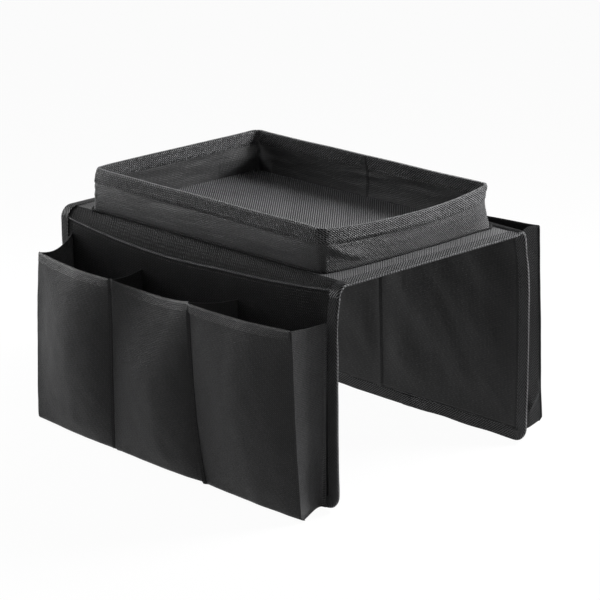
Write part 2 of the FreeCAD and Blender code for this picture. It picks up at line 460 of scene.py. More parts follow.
tray_half_x = -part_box("left_wall_cover")[0].x
tray_half_y = -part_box("front_wall_cover")[0].y
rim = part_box("front_wall_cover")[1].z
tray_corner = 0.007
base_bow = 0.0045
floor_low, floor_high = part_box("tray_floor")
floor_half_x = -floor_low.x
floor_half_y = floor_high.y
wall_thickness = tray_half_x - floor_half_x
floor_corner = tray_corner - wall_thickness
floor_ripple = 0.0002
# The floor's twill is given a paler shade than the cover's: painted light on the floor, which faces up.
floor_twill = woven("floor_twill", (0.056, 0.056, 0.0571), relief=0.0010, twill=0.9, depth=1.1,
                    gloss=0.055, yarn=0.0012, rib=0.0020, rough=0.4)


def lie_in_tray(x, y):
    flat_x, flat_y = rounded(x, y, floor_half_x, floor_half_y, floor_corner)
    right_half = ease((flat_x / floor_half_x - 0.5) * 2)
    bowed = flat_x + base_bow * right_half * (1 - (flat_y / floor_half_y) ** 2)
    height = floor_high.z - cloth / 2 + floor_ripple * (1 + ripple(x, y, 0.04, 5))
    return Vector((bowed, flat_y, height))


floor_flat = (2 * floor_half_x, 2 * floor_half_y)
tray_floor = make_cloth("tray_floor_cloth", floor_flat, (152, 99), lie_in_tray, cloth, floor_twill)
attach(tray_floor, "tray_top")
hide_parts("tray_floor")


# Tray walls: one strip of twill sewn up into a ring, drawn over the four wall boards.
# It stands on the cover, is creased at the four corners, and its right side has gone out of true.
wall_height = rim - top_surface
corner_run = tray_corner * math.pi / 2
straight_x = 2 * (tray_half_x - tray_corner)
straight_y = 2 * (tray_half_y - tray_corner)
tray_round = 2 * (straight_x + straight_y) + 4 * corner_run
tray_corners = (Vector((1, -1)), Vector((1, 1)), Vector((-1, 1)), Vector((-1, -1)))


def between(start, end, share):
    return start + (end - start) * share


def bump(off, width):
    """A smooth bump of height 1 that dies away past width to either side."""
    return math.exp(-(off / width) ** 2)


def walk_round(distance):
    """Follows the tray's outline from the left of its front. Gives the middle that a corner is turned
    about, the way out, the nearest corner's number, and how far past that corner the place is."""
    rest = distance % tray_round
    for leg in range(4):
        straight = straight_y if leg % 2 else straight_x
        facing = 90 * leg - 90
        if rest <= straight:
            share = rest / straight
            spot = tray_corners[leg - 1].lerp(tray_corners[leg], share)
            corner = leg - 1 if share < 0.5 else leg
            past = rest + corner_run / 2 if share < 0.5 else rest - straight - corner_run / 2
            break
        rest -= straight
        if rest <= corner_run or leg == 3:
            spot = tray_corners[leg]
            facing += 90 * rest / corner_run
            corner = leg
            past = rest - corner_run / 2
            break
        rest -= corner_run
    angle = math.radians(facing)
    middle = Vector((spot.x * straight_x / 2, spot.y * straight_y / 2))
    return middle, Vector((math.cos(angle), math.sin(angle))), corner, past


def follow(line, x):
    """A smooth line through a few points of (x, z)."""
    last = len(line) - 1
    step = next((i for i in range(last - 1) if x < line[i + 1][0]), last - 1)
    (x0, z0), (x1, z1) = line[step], line[step + 1]
    share = (x - x0) / (x1 - x0)
    slopes = []
    for at in (step, step + 1):
        low = line[max(at - 1, 0)]
        high = line[min(at + 1, last)]
        slopes.append((high[1] - low[1]) / (high[0] - low[0]) * (x1 - x0))
    square = share * share
    cube = square * share
    start_part = (2 * cube - 3 * square + 1) * z0 + (cube - 2 * square + share) * slopes[0]
    end_part = (3 * square - 2 * cube) * z1 + (cube - square) * slopes[1]
    return start_part + end_part


rim_bow = 0.0085
right_sag = 0.0044
rim_wave = 0.0004
wall_swell = 0.0008
wall_belly = 0.0018
belly_height = 0.40
corner_spread = 0.013
corner_crease = 0.0009
crease_width = 0.0013
# How far each corner stands out or is drawn in, from its foot to the rim.
corner_forms = (
    ((0, -0.0022), (0.3, -0.0022), (0.66, -0.0014), (1, 0.0010)),
    ((0, 0.0030), (0.3, -0.0016), (0.66, -0.0032), (1, 0.0002)),
    ((0, 0.0000), (0.3, -0.0006), (0.66, -0.0006), (1, 0.0012)),
    ((0, 0.0026), (0.3, -0.0010), (0.66, -0.0014), (1, -0.0028)),
)
# A pucker runs up the near end of the right wall: its line, and where it starts and dies away.
pucker_line = ((-0.105, 0.0330), (-0.088, 0.0229), (-0.078, 0.0181), (-0.067, 0.0146), (-0.048, 0.0110))
pucker_start = -0.104
pucker_rise = 0.008
pucker_end = -0.048
pucker_fade = 0.02
pucker_height = 0.0017
pucker_reach = 0.0036
# The walls are the same twill as the top's cover, given a darker shade: painted shade on the walls.
wall_twill = woven("wall_twill", (0.033, 0.033, 0.0337), relief=0.0010, twill=0.55, depth=1.2, gloss=0.18)


def wall_place(distance, height, inset):
    """A point of the tray's wall: height from 0 at the cover to 1 at the rim, inset from the outer face."""
    middle, outwards, corner, past = walk_round(distance)
    place = middle + outwards * (tray_corner - inset)
    along = place.y / tray_half_y
    right = max(outwards.x, 0) * max(1 - along * along, 0)
    top = rim - right_sag * right + rim_wave * ripple(distance, 0, 0.06, 6)
    z = between(top_surface, top, height)
    swell = wall_swell * math.sin(math.pi * height) * (1 + ripple(distance, height, 0.07, 7))
    swell += follow(corner_forms[corner], height) * bump(past, corner_spread)
    swell -= corner_crease * bump(past, crease_width)
    belly_part = belly_height if height < belly_height else 1 - belly_height
    swell += wall_belly * outwards.y ** 2 * (1 - ((height - belly_height) / belly_part) ** 2)
    near_pucker = ease((place.y - pucker_start) / pucker_rise) * ease((pucker_end - place.y) / pucker_fade)
    if near_pucker and outwards.x > 0:
        off_pucker = z - follow(pucker_line, place.y)
        swell += pucker_height * near_pucker * outwards.x * bump(off_pucker, pucker_reach)
    place += outwards * swell
    place.x += right * between(base_bow, rim_bow, height)
    return Vector((place.x, place.y, z))


def stand_wall(x, y):
    return wall_place(x + tray_round / 2, y / wall_height + 0.5, cloth / 2)


wall_flat = (tray_round, wall_height)
wall_cover = make_cloth("tray_wall_cloth", wall_flat, (800, 18), stand_wall, cloth, wall_twill)
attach(wall_cover, "tray_top")
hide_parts("front_wall_cover", "rear_wall_cover", "left_wall_cover", "right_wall_cover")


# Wall boards: four strips of the black plastic sheet, one in each side of the wall.
# They are slipped in between the cloth and the lining, stop short of the corners, and don't show.
wall_board = wall_thickness - cloth - lining
board_stock = wall_board - 0.0002
board_gap = 0.006
board_low = 0.03
board_high = 0.86
board_width = wall_height * (board_high - board_low)
board_start = 0.0
for leg, board_name in enumerate(("front", "right", "rear", "left")):
    straight = straight_y if leg % 2 else straight_x

    def slip_in(x, y, middle=board_start + straight / 2):
        height = between(board_low, board_high, y / board_width + 0.5)
        return wall_place(middle + x, height, cloth + wall_board / 2)

    board_flat = (straight - 2 * board_gap, board_width)
    sheet_name = board_name + "_wall_sheet"
    wall_sheet = make_cloth(sheet_name, board_flat, (60, 8), slip_in, board_stock, board_plastic)
    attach(wall_sheet, "tray_top")
    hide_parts(board_name + "_wall_board")
    board_start += straight + corner_run


# Wall lining: a ring of thin smooth cloth up the inside of the walls, sewn in under the rim's hem.
# It is lapped in the middle of the rear wall, and bellies out slack at the corners above a dark hollow.
rear_middle = 1.5 * straight_x + straight_y + 2 * corner_run
lining_slack = 0.0006
lap_step = 0.0012
lap_run = 0.008
# For each corner: how far the lining bellies out, and how far that runs before and after the corner.
corner_slacks = ((0.002, 0.02, 0.02), (0.002, 0.02, 0.02), (0.011, 0.022, 0.052), (0.003, 0.02, 0.02))
slack_low = 0.02
slack_high = 0.55
slack_top = 0.7
across_spread = 0.012
wall_lining_cloth = woven("wall_lining_cloth", (0.027, 0.027, 0.0275), relief=0.0003, twill=0.3,
                          depth=0.5, gloss=0.15)


def stand_lining(x, y):
    distance = x + tray_round / 2
    height = y / wall_height + 0.5
    outwards, corner, past = walk_round(distance)[1:]
    loose = lining_slack * math.sin(math.pi * height) * (1 + ripple(distance, height, 0.03, 8))
    past_join = distance - rear_middle
    lap = lap_step * math.exp(-past_join / lap_run) if past_join > 0 else 0
    place = wall_place(distance, height, wall_thickness - lining / 2 + loose + lap)
    belly, before, after = corner_slacks[corner]
    near = max(1 - abs(past) / (after if past > 0 else before), 0)
    crest = between(slack_low, slack_high, near)
    share = height / crest if height < crest else (slack_top - height) / (slack_top - crest)
    across = tray_corners[corner] / math.sqrt(2)
    way = outwards.lerp(across, bump(past, across_spread)) * belly * near * ease(share)
    return place - Vector((way.x, way.y, 0))


wall_lining = make_cloth("tray_wall_lining", wall_flat, (800, 16), stand_lining, lining, wall_lining_cloth)
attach(wall_lining, "tray_top")
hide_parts("front_wall_lining", "rear_wall_lining", "left_wall_lining", "right_wall_lining")


# Rim hem: a band of the wall's cloth doubled over the rim, 13 mm deep inside and out.
# Two rows of stitching hold it, and a painted highlight runs along the rolled edge as a pale line.
hem_depth = 0.013
hem_half = 0.0018
hem_middle = 0.0014
hem_cloth = 0.0007
hem_lumps = 0.14
hem_flat = (tray_round, turned_width(hem_depth, hem_half))
# The hem is the walls' twill in a darker shade with paler yarn tops: painted shade, and painted sheen on its
# yarns.
rim_twill = woven("rim_twill", (0.025, 0.025, 0.0255), relief=0.0015, twill=0.5, depth=3.0, gloss=0.05,
                  yarn=0.0022, rib=0.0020, rough=0.36, fold_highlight=0.0016)


def hem_place(distance, around, proud=0.0):
    """A point of the hem: along the rim, and around its folded edge."""
    inwards, off = tape_turn(around, hem_half)
    lumps = 1 + hem_lumps * ripple(distance, around, 0.006, 9)
    inset = hem_middle - off * lumps - math.copysign(proud, off)
    return wall_place(distance, 1 - inwards / wall_height, inset)


def fold_hem(x, y):
    return hem_place(x + tray_round / 2, y)


rim_hem = make_cloth("rim_hem", hem_flat, (800, 26), fold_hem, hem_cloth, rim_twill)
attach(rim_hem, "tray_top")


# Base welt: a thin piped seam where the walls are sewn down to the cover.
# It is a bias strip rolled tight round a cord, lying in the angle between the two.
# The folds, flaps, base welt and rear gussets use the top's cover twill in a far darker shade: painted shade
# on all of them.
flap_twill = woven("flap_twill", (0.0066, 0.0066, 0.0067), relief=0.0007, twill=0.6, depth=1.6, gloss=0.03,
                   yarn=0.0023, rib=0.0019, rough=0.5)
welt_radius = 0.0012
welt_out = 0.0016
welt_lift = 0.0010


def roll_base_welt(x, y):
    angle = y / welt_radius
    reach = welt_out + welt_radius * math.cos(angle)
    place = wall_place(x + tray_round / 2, 0, -reach)
    place.z = top_surface + welt_lift + welt_radius * math.sin(angle)
    return place


welt_flat = (tray_round, 2 * math.pi * welt_radius)
base_welt = make_cloth("base_welt", welt_flat, (800, 8), roll_base_welt, 0, flap_twill)
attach(base_welt, "tray_top")
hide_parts("tray_base_welt")


# Folds: the cover's long sides carry on past the top's edge and slope down to a rolled seam.
# The front seam has sagged in the middle, and the rear one is pulled straight.
front_fold_line = (
    (-0.188, -0.0015),
    (-0.176, -0.0056),
    (-0.100, -0.0132),
    (-0.030, -0.0154),
    (0.036, -0.0124),
    (0.089, -0.0100),
    (0.140, -0.0062),
    (0.188, -0.0012),
)
rear_fold_line = ((-0.188, -0.0042), (-0.06, -0.0050), (0.05, -0.0046), (0.188, -0.0040))
flap_outer = -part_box("front_flap_cover")[0].y
flap_inner = -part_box("front_flap_lining")[1].y
flap_binding_low, flap_binding_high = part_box("rear_flap_binding")
flap_middle = (flap_binding_high.y + flap_binding_low.y) / 2
turn_radius = flap_middle - top_half_y
turn_foot = top_middle - turn_radius
round_start = 0.158
round_run = 0.02
seam_out = flap_outer - 0.0008
seam_sink = 0.0002
seam_lap = 0.0008
cover_lap = 0.0006
shoulder_share = 0.66
shoulder_fall = 0.0004
fold_ripple = 0.0007
fold_flat = (2 * top_half_x, 0.018)
fold_sides = (("front", -1, front_fold_line), ("rear", 1, rear_fold_line))
fold_ridges = {-1: 0.0, 1: 0.0036}


def round_over(x, z):
    """How far a panel leans in at its ends, where the binding takes it round the edge of the top."""
    near_end = ease((abs(x) - round_start) / round_run)
    high = min(max(z - turn_foot, 0), turn_radius)
    return near_end * (turn_radius - math.sqrt(turn_radius ** 2 - high ** 2))


for side_name, side, line in fold_sides:

    def slope_down(x, y, side=side, line=line):
        share = 0.5 - y / fold_flat[1]
        seam_z = follow(line, x)
        start = Vector((top_half_y - cover_lap, top_surface - cloth / 2))
        end = Vector((seam_out - seam_sink - round_over(x, seam_z), seam_z + seam_lap))
        shoulder = Vector((between(start.x, end.x, shoulder_share), start.y - shoulder_fall))
        place = start.lerp(shoulder, share).lerp(shoulder.lerp(end, share), share)
        ridge = fold_ridges[side] + fold_ripple * ripple(x, share, 0.03, 10 + side)
        place.y += ridge * math.sin(math.pi * share)
        return Vector((x, side * place.x, place.y))

    strip = make_cloth(side_name + "_fold_cloth", fold_flat, (150, 14), slope_down, cloth, flap_twill)
    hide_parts(side_name + "_fold_strip")
    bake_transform(strip)


# Fold seams: the flap and the fold strip are joined in a seam that is rolled and sewn flat.
# It shows as a thin ridge along the top of each flap, runs out under the binding, and swings with the flap.
# Its tape finish paints a highlight as a pale line along the roll's outer face.
seam_radius = 0.0013
seam_half = 0.184
seam_tip = 0.35
seam_taper = 0.012
seam_lumps = 0.12


def close_ends():
    """Closes both open ends of the roll that has just been made."""
    bpy.ops.object.mode_set(mode="EDIT")
    bpy.ops.mesh.select_all(action="SELECT")
    bpy.ops.mesh.fill_holes(sides=12)
    bpy.ops.object.mode_set(mode="OBJECT")


seam_flat = (2 * seam_half, 2 * math.pi * seam_radius)
for side_name, side, line in fold_sides:

    def roll_seam(x, y, side=side, line=line):
        angle = y / seam_radius
        thin = between(seam_tip, 1, ease((seam_half - abs(x)) / seam_taper))
        fat = seam_radius * thin * (1 + seam_lumps * ripple(x, side, 0.008, 12))
        seam_z = follow(line, x)
        out = seam_out - round_over(x, seam_z) + fat * math.cos(angle)
        return Vector((x, side * out, seam_z + fat * math.sin(angle)))

    seam = make_cloth(side_name + "_fold_seam", seam_flat, (188, 10), roll_seam, 0, binding_tape)
    close_ends()
    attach(seam, side_name + "_flap")
    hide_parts(side_name + "_fold_welt")


# Flaps: a card board inside a twill cover and a smooth lining, hung from the fold seam.
# The lower corners are rounded, the card stops short of the binding, and each panel has warped in use.
flap_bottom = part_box("front_flap_cover")[0].z
flap_corner = 0.0134
flap_cut = 0.190
flap_flat = (2 * top_half_x, flap_cut)
card_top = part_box("front_flap_board")[1].z
card_margin = 0.0125
card_bottom = flap_bottom + card_margin
card_flat = (2 * (top_half_x - card_margin), card_top - card_bottom)
flap_card = flap_outer - flap_inner - cloth - lining
card_stock = flap_card - 0.0003
board_card = sheet_stock("board_card", (0.16, 0.14, 0.12), grain=300, rough=0.8)
front_warp = ((-0.196, 0.0054), (-0.100, 0.0044), (-0.030, 0.0028), (-0.008, 0.0))
rear_warp = ((-0.196, 0.0004), (-0.155, 0.0030), (-0.085, 0.0044), (-0.030, 0.0032), (-0.008, 0.0))
warp_start = -0.02
warp_run = 0.2
warp_ripple = 0.0008
seam_tuck = 0.0009
tuck_run = 0.004
flap_ripple = 0.0003


def warp(side, x, z):
    """How far the panel stands off its flat place, outwards. Its right end has warped the most."""
    if z > turn_foot:
        return 0.0
    right = ease((x - warp_start) / warp_run)
    uneven = warp_ripple * ease(-z / flap_cut) * ripple(x, z, 0.11, 14 + side)
    return right * follow(front_warp if side < 0 else rear_warp, z) + uneven


def cover_place(side, line, x, z, proud=0.0):
    """A point on the middle of a flap's cover, tucked in under the fold seam."""
    tuck = seam_tuck * math.exp(-(follow(line, x) - z) / tuck_run)
    off = warp(side, x, z) - tuck - round_over(x, z) + flap_ripple * ripple(x, z, 0.02, 16)
    return Vector((x, side * (flap_outer - cloth / 2 + off + proud), z))


def round_foot(x, z, bottom, half_x, corner):
    """Draws the points near a panel's two lower corners in on to round ones."""
    if z - bottom < corner:
        x, low = rounded(x, z - bottom - corner, half_x, corner, corner)
        z = bottom + corner + low
    return x, z


for side_name, side, line in fold_sides:

    def hang_cover(x, y, side=side, line=line):
        z = between(flap_bottom, follow(line, x), 0.5 + y / flap_cut)
        return cover_place(side, line, *round_foot(x, z, flap_bottom, top_half_x, flap_corner))

    def hang_card(x, y, side=side):
        z = (card_top + card_bottom) / 2 + y
        return Vector((x, side * (flap_inner + lining + flap_card / 2 + warp(side, x, z)), z))

    cover = make_cloth(side_name + "_flap_cloth", flap_flat, (150, 76), hang_cover, cloth, flap_twill)
    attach(cover, side_name + "_flap")
    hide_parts(side_name + "_flap_cover")

    card_name = side_name + "_flap_card"
    card = make_cloth(card_name, card_flat, (75, 38), hang_card, card_stock, board_card)
    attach(card, side_name + "_flap")
    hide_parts(side_name + "_flap_board")


# Flap linings: thin smooth cloth on the faces towards the sofa's arm, looser than the covers.
# Stitching through to the pocket dividers dimples it, it lies in slanting folds, and it dips at the binding.
lining_half_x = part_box("front_flap_lining")[1].x
lining_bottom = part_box("front_flap_lining")[0].z
lining_cut = 0.178
lining_corner = 0.004
lining_flat = (2 * lining_half_x, lining_cut)
flap_edge_x = flap_binding_high.x
flap_edge_bottom = flap_binding_low.z
divider_roots = {"front": (-0.0717, 0.061), "rear": (0.0045,)}
slant_x = 0.64
slant_z = 0.77
broad_fold = 0.0046
fine_fold = 0.0008
fold_start = 0.045
seam_hold = 0.022
dimple_step = 0.0010
dimple_run = 0.008
low_valley = 0.0011
side_valley = 0.0005
valley_place = 0.0008
valley_width = 0.0012


def lining_place(side, roots, x, z, proud=0.0):
    """A point of a flap's lining, with its folds standing in from the card towards the arm."""
    past_side_tape = flap_edge_x - binding_reach - abs(x)
    past_low_tape = z - flap_edge_bottom - binding_reach
    along_slant = x * slant_x + z * slant_z
    down_slant = z * slant_x - x * slant_z
    broad = 0.5 + 0.5 * ripple(along_slant, down_slant * 0.35, 0.042, 18 + side)
    fine = 0.5 + 0.5 * ripple(x * 0.9 + z * 0.4, z * 0.3, 0.015, 20 + side)
    off_tapes = min(past_side_tape, past_low_tape)
    slack = ease(off_tapes / fold_start) * (broad_fold * broad + fine_fold * fine)
    for root in roots:
        slack *= 1 - bump(x - root, seam_hold)
        if x < root:
            slack += dimple_step * math.exp((x - root) / dimple_run)
    slack -= low_valley * bump(past_low_tape - valley_place, valley_width)
    slack -= side_valley * bump(past_side_tape - valley_place, valley_width)
    off = warp(side, x, z) - round_over(x, z)
    return Vector((x, side * (flap_inner + lining / 2 + off - slack - proud), z))


for side_name, side, line in fold_sides:

    def hang_lining(x, y, side=side, line=line, roots=divider_roots[side_name]):
        z = between(lining_bottom, follow(line, x) - seam_lap, 0.5 + y / lining_cut)
        return lining_place(side, roots, *round_foot(x, z, lining_bottom, lining_half_x, lining_corner))

    lining_name = side_name + "_flap_lining_cloth"
    flap_lining = make_cloth(lining_name, lining_flat, (300, 100), hang_lining, lining, lining_cloth,
                             crowd=0.6)
    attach(flap_lining, side_name + "_flap")
    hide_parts(side_name + "_flap_lining")


# Flap bindings: the same woven tape folded over the three free edges of each flap.
# It eases round the lower corners, and its ends overlap in a small join along the bottom edge.
# The tape's folded edge carries a painted highlight as a pale line, as at the ends of the top.
edge_corner = 0.014
flap_half_stack = (flap_binding_high.y - flap_binding_low.y - tape) / 2
side_run = turn_foot - flap_edge_bottom - edge_corner
bottom_run = 2 * (flap_edge_x - edge_corner)
edge_arc = edge_corner * math.pi / 2
edge_round = 2 * side_run + 2 * edge_arc + bottom_run
edge_tape_flat = (edge_round, turned_width(binding_reach - tape / 2, flap_half_stack))
edge_wave = 0.0009
edge_wobble = 0.12
tape_join = side_run + edge_arc + bottom_run / 2 + 0.031
join_length = 0.011


def walk_edge(distance):
    """The middle of the corner circle and the way out, at a distance round the flap's free edges."""
    middle_x = flap_edge_x - edge_corner
    middle_z = flap_edge_bottom + edge_corner
    rest = distance
    if rest <= side_run:
        return Vector((-middle_x, turn_foot - rest)), Vector((-1, 0))
    rest -= side_run
    if rest <= edge_arc:
        angle = rest / edge_corner
        return Vector((-middle_x, middle_z)), Vector((-math.cos(angle), -math.sin(angle)))
    rest -= edge_arc
    if rest <= bottom_run:
        return Vector((-middle_x + rest, middle_z)), Vector((0, -1))
    rest -= bottom_run
    if rest <= edge_arc:
        angle = rest / edge_corner
        return Vector((middle_x, middle_z)), Vector((math.sin(angle), -math.cos(angle)))
    rest -= edge_arc
    return Vector((middle_x, middle_z + rest)), Vector((1, 0))


def edge_tape_place(side, distance, around, proud=0.0):
    """A point of the tape on a flap: along its free edges, and around the folded edge."""
    middle, outwards = walk_edge(distance)
    inwards, off = tape_turn(around, flap_half_stack)
    loose = ease(min(distance, edge_round - distance) / tape_settle)
    wave = edge_wave * loose * ripple(distance, side, 0.034, 22)
    place = middle + outwards * (edge_corner - tape / 2 - inwards + wave)
    off *= 1 + edge_wobble * loose * ripple(distance, around, 0.008, 23)
    doubled = tape if 0 < distance - tape_join < join_length else 0
    off += math.copysign(proud + doubled, off)
    return Vector((place.x, side * (flap_middle + off + warp(side, place.x, place.y)), place.y))


for side_name, side, line in fold_sides:

    def bind_edge(x, y, side=side):
        return edge_tape_place(side, x + edge_round / 2, y)

    tape_name = side_name + "_flap_tape"
    flap_tape = make_cloth(tape_name, edge_tape_flat, (420, 22), bind_edge, tape, binding_tape)
    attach(flap_tape, side_name + "_flap")
    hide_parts(side_name + "_flap_binding")


# Fold bindings: where the tape passes from the ends of the top to the sides of the flaps.
# It goes round the folded edge in a small curve.
# Its folded edge carries a painted highlight as a pale line.
turn_run = turn_radius * math.pi / 2
turn_flat = (turn_run, end_tape_flat[1])
tape_ridge = 0.8
for side_name, side, line in fold_sides:
    for end_name, end in ends:

        def turn_over(x, y, side=side, end=end):
            share = x / turn_run + 0.5
            angle = share * math.pi / 2
            inwards, off = tape_turn(y, between(top_half_stack, flap_half_stack, share))
            edge = between(end_edge, flap_edge_x - tape / 2, share)
            reach = turn_radius + off
            out = top_half_y + reach * math.sin(angle)
            ridge = tape_ridge * fold_ridges[side] * math.sin(math.pi * share)
            return Vector((end * (edge - inwards), side * out, turn_foot + reach * math.cos(angle) + ridge))

        turn_name = side_name + "_fold_tape_" + end_name
        fold_tape = make_cloth(turn_name, turn_flat, (16, 24), turn_over, tape, binding_tape)
        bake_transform(fold_tape)


# Pocket fronts: one strip of twill across each flap, sewn to dividers and end gussets behind it.
# The front strip is slack: its middle mouth droops in, and the seam on its right is pinched into a pleat.
pocket_root = flap_outer + tape
pocket_twill = woven("pocket_twill", (0.017, 0.017, 0.0174), relief=0.0003, twill=0.5, depth=0.6,
                     gloss=0.095, rough=0.4)
front_row = {
    "name": "front",
    "side": -1,
    "face": 0.159,
    "floor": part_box("front_pocket_strip")[0].z,
    "base_seams": (-0.1846, -0.0668, 0.0570, 0.1815),
    "mouth_seams": (-0.1712, -0.0622, 0.0420, 0.1750),
    "leans": (1.6, 1.0, -2.4, -1.6),
    "mouth_heights": (-0.0300, -0.0330, -0.0326, -0.0290),
    "droops": (0.0010, 0.0056, 0.0012),
    "middle_swells": (0.0115, 0.0105, 0.0105),
    "crown": (1.5, 1.0),
    "mouth_swells": (0.0030, -0.0080, 0.0020),
    "end_tuck": 0.0,
    "left_set": 0.0045,
    "pleat": 2,
    "base_roots": (-0.1690, -0.0717, 0.0610, 0.1738),
    "mouth_roots": (-0.1720, -0.0717, 0.0610, 0.1764),
    "root_heights": (-0.0190, -0.0345, -0.0345, -0.0310),
    "hollows": (0.0050, 0.0, 0.0, 0.0062),
    "hollow_shares": (1.0, 0.3),
    "gusset_fold": 0.0,
    "top_droops": (0.0062, 0.0018, 0.0018, 0.0008),
}
rear_row = {
    "name": "rear",
    "side": 1,
    "face": 0.146,
    "floor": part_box("rear_pocket_strip")[0].z,
    "base_seams": (-0.1790, 0.0045, 0.1790),
    "mouth_seams": (-0.1780, 0.0045, 0.1780),
    "leans": (1.0, 1.0, 1.0),
    "mouth_heights": (0.0010, -0.0015, 0.0010),
    "droops": (0.0030, 0.0030),
    "middle_swells": (0.0040, 0.0040),
    "crown": (1.0, 1.0),
    "mouth_swells": (-0.0020, -0.0020),
    "end_tuck": 0.0042,
    "left_set": 0.0,
    "pleat": None,
    "base_roots": (-0.1840, 0.0045, 0.1840),
    "mouth_roots": (-0.1840, 0.0045, 0.1840),
    "root_heights": (-0.0010, -0.0095, -0.0010),
    "hollows": (0.0048, 0.0, 0.0048),
    "hollow_shares": (-0.4, 1.0),
    "gusset_fold": 0.0034,
    "top_droops": (-0.0030, 0.0018, -0.0030),
}
base_swell = 0.0012
# The parts of its full swell that a bay has at three rises between the floor and the mouth.
bay_form = ((0.12, 0.55), (0.5, 1.0), (0.85, 0.5))
mouth_start = 0.3
tuck_spread = 0.03
base_curl = 0.004
seam_dip = 0.0014
dip_width = 0.0013
notch_rise = 0.0018
notch_width = 0.0028
notch_power = 8
slow_ripple = 0.0008
quick_ripple = 0.0003
pleat_fall = 0.0030
pleat_foot = 0.6
pleat_run = 0.016
pleat_edge = 0.0015
pinch_top = 1.02
pinch_fade = 0.1
# The pinched fold beside the pleated seam and the groove next to it: height, place and width.
pinch_forms = ((0.0028, 0.0010, 0.0016), (-0.0012, 0.0038, 0.0013))


def lean(rise, power):
    """How far a leaning seam has come over at a rise: late for a power above 1, early for one below -1."""
    rise = min(max(rise, 0), 1)
    return rise ** power if power > 0 else 1 - (1 - rise) ** -power


def pleat_out(off, rise):
    """How far the strip stands out at its pleated seam: it falls in, and is pinched up beside that."""
    falls_in = math.exp(off / pleat_run) if off < 0 else bump(off, pleat_edge)
    out = -pleat_fall * between(pleat_foot, 1, rise) * falls_in
    pinched = ease((pinch_top - rise) / pinch_fade)
    for height, place, width in pinch_forms:
        out += height * pinched * bump(off - place, width)
    return out


def strip_place(row, across, rise, lift=0.0):
    """A point of the strip: across is its place along the floor, rise goes from there to 1 at the mouth."""
    base = row["base_seams"]
    heights = row["mouth_heights"]
    last_bay = len(base) - 2
    bay = next((i for i in range(last_bay) if across < base[i + 1]), last_bay)
    share = (across - base[bay]) / (base[bay + 1] - base[bay])
    seams = zip(base, row["mouth_seams"], row["leans"])
    seam_x = [between(low, high, lean(rise, power)) for low, high, power in seams]
    x = between(seam_x[bay], seam_x[bay + 1], share)
    inside = min(max(share, 0), 1)
    arch = 4 * inside * (1 - inside)
    mouth_z = between(heights[bay], heights[bay + 1], share) - row["droops"][bay] * arch
    z = between(row["floor"], mouth_z, rise)
    left_power, right_power = row["crown"]
    peak = left_power / (left_power + right_power)
    crown = (inside / peak) ** left_power * ((1 - inside) / (1 - peak)) ** right_power
    full = row["middle_swells"][bay]
    body = ((0, base_swell), *((at, part * full) for at, part in bay_form), (1, 0))
    out = crown * follow(body, rise)
    out += arch * row["mouth_swells"][bay] * ease((rise - mouth_start) / (1 - mouth_start))
    if bay == 0:
        out -= row["left_set"] * (1 - share)
    end_gap = min(x - seam_x[0], seam_x[-1] - x)
    out -= row["end_tuck"] * max(rise, 0) ** 0.5 * bump(end_gap, tuck_spread)
    for number in range(1, len(base) - 1):
        off = x - seam_x[number]
        z += notch_rise * max(1 - rise, 0) ** notch_power * bump(off, notch_width)
        out += pleat_out(off, rise) if number == row["pleat"] else -seam_dip * bump(off, dip_width)
    off_floor = max(z - row["floor"], 0)
    if off_floor < base_curl:
        out -= base_curl - math.sqrt(max(base_curl ** 2 - (base_curl - off_floor) ** 2, 0))
    out += slow_ripple * ripple(x * 1.4, z * 0.6, 0.045, 25 + row["side"])
    out += quick_ripple * ripple(x, z, 0.016, 27 + row["side"])
    return Vector((x, row["side"] * (row["face"] - cloth / 2 + out + lift), z))


for row in (front_row, rear_row):
    name = row["name"]
    row["width"] = row["base_seams"][-1] - row["base_seams"][0]
    row["middle"] = (row["base_seams"][-1] + row["base_seams"][0]) / 2
    row["height"] = row["mouth_heights"][0] - row["floor"]
    strip_flat = (row["width"], row["height"])

    def hang_strip(x, y, row=row):
        return strip_place(row, x + row["middle"], y / row["height"] + 0.5)

    strip_name = name + "_pocket_cloth"
    pocket_front = make_cloth(strip_name, strip_flat, (360, 84), hang_strip, cloth, pocket_twill)
    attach(pocket_front, name + "_pockets")
    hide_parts(name + "_pocket_strip")


# Pocket hems: the mouth of each strip is turned over in a narrow double hem.
# It stands a little proud of the cloth below it and has one row of stitching.
mouth_hem = 0.0085
mouth_hem_half = 0.0007
mouth_hem_cloth = 0.0006


def mouth_hem_place(row, across, around, proud=0.0):
    """A point of a pocket hem: along the mouth, and around its folded edge."""
    inwards, off = tape_turn(around, mouth_hem_half)
    rise = 1 + (mouth_hem_cloth - inwards) / row["height"]
    return strip_place(row, across, rise, off + math.copysign(proud, off))


for row in (front_row, rear_row):
    name = row["name"]
    mouth_flat = (row["width"], turned_width(mouth_hem, mouth_hem_half))

    def fold_mouth(x, y, row=row):
        return mouth_hem_place(row, x + row["middle"], y)

    mouth_name = name + "_pocket_hem"
    pocket_hem = make_cloth(mouth_name, mouth_flat, (360, 14), fold_mouth, mouth_hem_cloth, pocket_twill)
    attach(pocket_hem, name + "_pockets")


